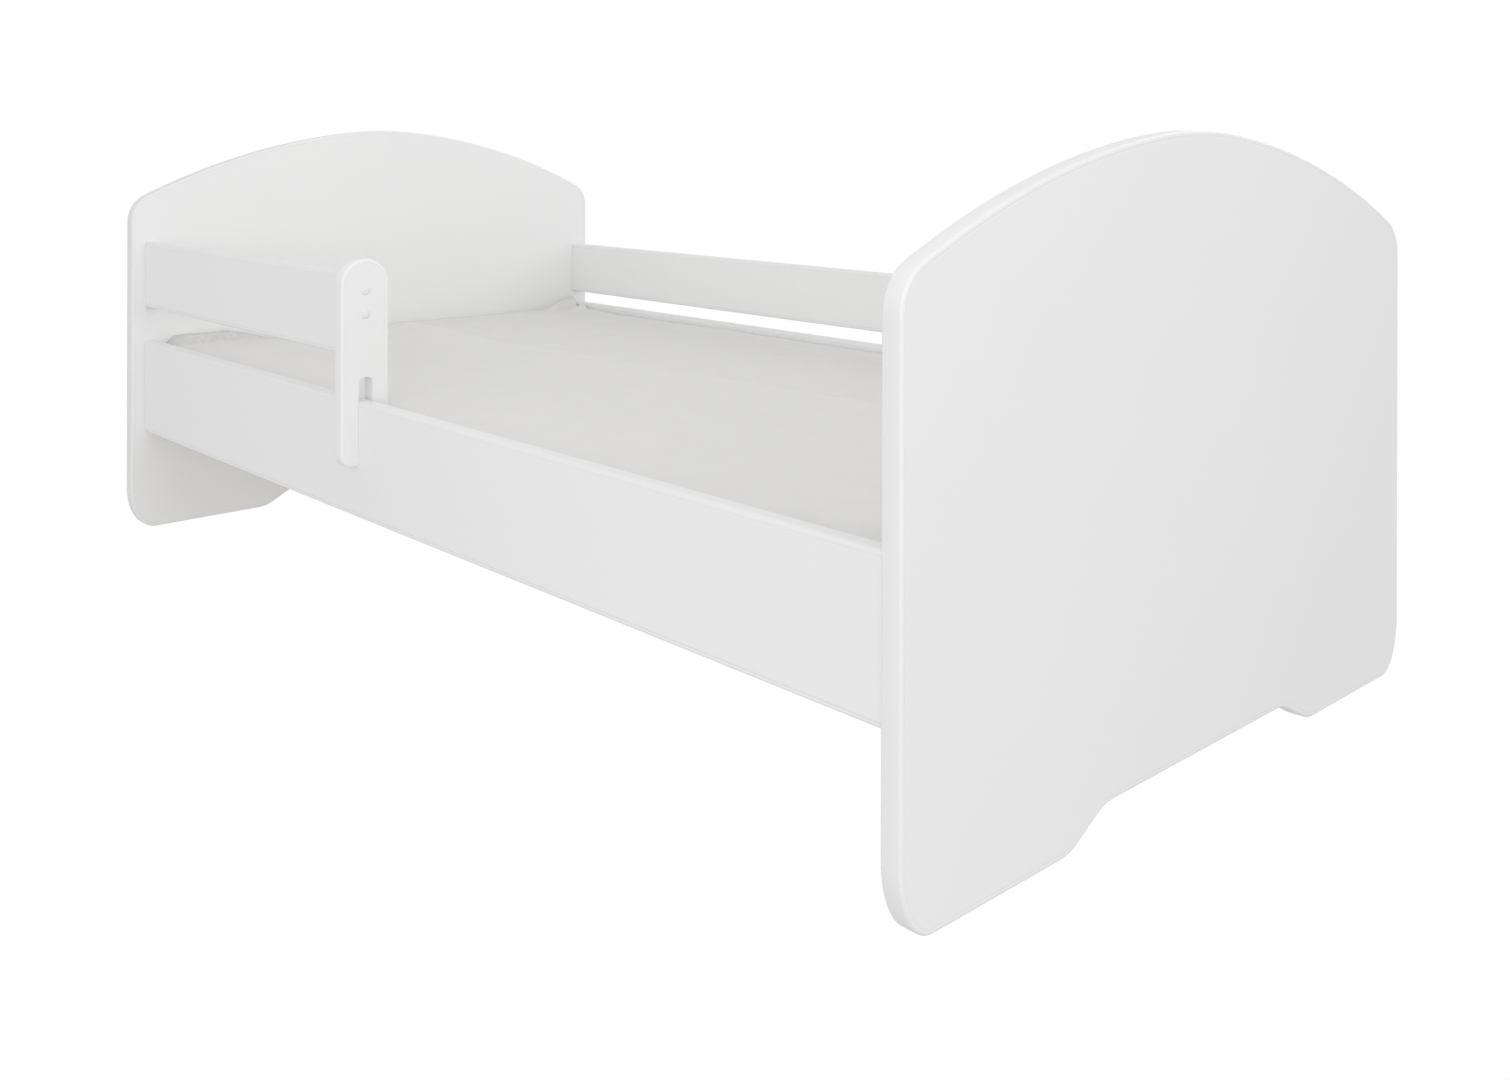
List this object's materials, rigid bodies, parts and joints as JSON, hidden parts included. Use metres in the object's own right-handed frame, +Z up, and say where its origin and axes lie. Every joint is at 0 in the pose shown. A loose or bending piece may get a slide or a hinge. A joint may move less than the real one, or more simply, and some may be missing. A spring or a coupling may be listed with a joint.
{
  "type": "toddler bed",
  "caption": "Low child's bed with arched headboard and footboard, side boards, slatted base, mattress, back guard rail and a lift-off front barrier.",
  "frame": {"origin": "on the floor under the middle of the whole object", "axes": "+X runs from the headboard to the footboard, +Y from the front with the barrier to the back, +Z up"},
  "size_m": [1.649, 0.8938, 0.6387],
  "materials": {
    "white_board": "smooth white laminate on board, satin, with a fine line where the edge band ends",
    "mattress_cover": "thin warm off-white knitted mattress cover with small wrinkles",
    "pine": "bare planed pine",
    "webbing": "woven tape",
    "zinc_fitting": "die-cast zinc, dull",
    "steel_fitting": "zinc-plated steel",
    "beech_dowel": "fluted beech dowel",
    "white_cap": "white moulded plastic"
  },
  "bodies": {
    "bed_frame": {"back_foot_lower_bolt": "steel_fitting", "back_foot_lower_cam": "zinc_fitting", "back_foot_upper_bolt": "steel_fitting", "back_foot_upper_cam": "zinc_fitting", "back_guard_rail": "white_board", "back_head_lower_bolt": "steel_fitting", "back_head_lower_cam": "zinc_fitting", "back_head_upper_bolt": "steel_fitting", "back_head_upper_cam": "zinc_fitting", "back_ledge_screw_1": "steel_fitting", "back_ledge_screw_2": "steel_fitting", "back_ledge_screw_3": "steel_fitting", "back_rail_foot_bolt": "steel_fitting", "back_rail_foot_cam": "zinc_fitting", "back_rail_foot_dowel": "beech_dowel", "back_rail_head_bolt": "steel_fitting", "back_rail_head_cam": "zinc_fitting", "back_rail_head_dowel": "beech_dowel", "back_side_board": "white_board", "back_slat_ledge": "pine", "back_slat_strap": "webbing", "footboard": "white_board", "front_foot_lower_bolt": "steel_fitting", "front_foot_lower_cam": "zinc_fitting", "front_foot_upper_bolt": "steel_fitting", "front_foot_upper_cam": "zinc_fitting", "front_head_lower_bolt": "steel_fitting", "front_head_lower_cam": "zinc_fitting", "front_head_upper_bolt": "steel_fitting", "front_head_upper_cam": "zinc_fitting", "front_ledge_screw_1": "steel_fitting", "front_ledge_screw_2": "steel_fitting", "front_ledge_screw_3": "steel_fitting", "front_side_board": "white_board", "front_slat_ledge": "pine", "front_slat_strap": "webbing", "hanger_pin_lower": "steel_fitting", "hanger_pin_upper": "steel_fitting", "headboard": "white_board", "slat_01": "pine", "slat_02": "pine", "slat_03": "pine", "slat_04": "pine", "slat_05": "pine", "slat_06": "pine", "slat_07": "pine", "slat_08": "pine", "slat_09": "pine", "slat_10": "pine", "slat_11": "pine", "slat_12": "pine"},
    "barrier": {"barrier_bracket": "white_board", "barrier_hanger_plate": "steel_fitting", "barrier_rail": "white_board", "bracket_cap_lower": "white_cap", "bracket_cap_upper": "white_cap", "bracket_screw_lower": "steel_fitting", "bracket_screw_upper": "steel_fitting", "hanger_plate_screw": "steel_fitting"},
    "mattress": {"mattress": "mattress_cover"}
  },
  "joints": [
    {"name": "barrier_lift", "type": "slide", "parent": "bed_frame", "child": "barrier", "axis": [0, 0, 1], "range_m": [0, 0.12]},
    {"name": "mattress_lift", "type": "slide", "parent": "bed_frame", "child": "mattress", "axis": [0, 0, 1], "range_m": [0, 0.25]}
  ]
}
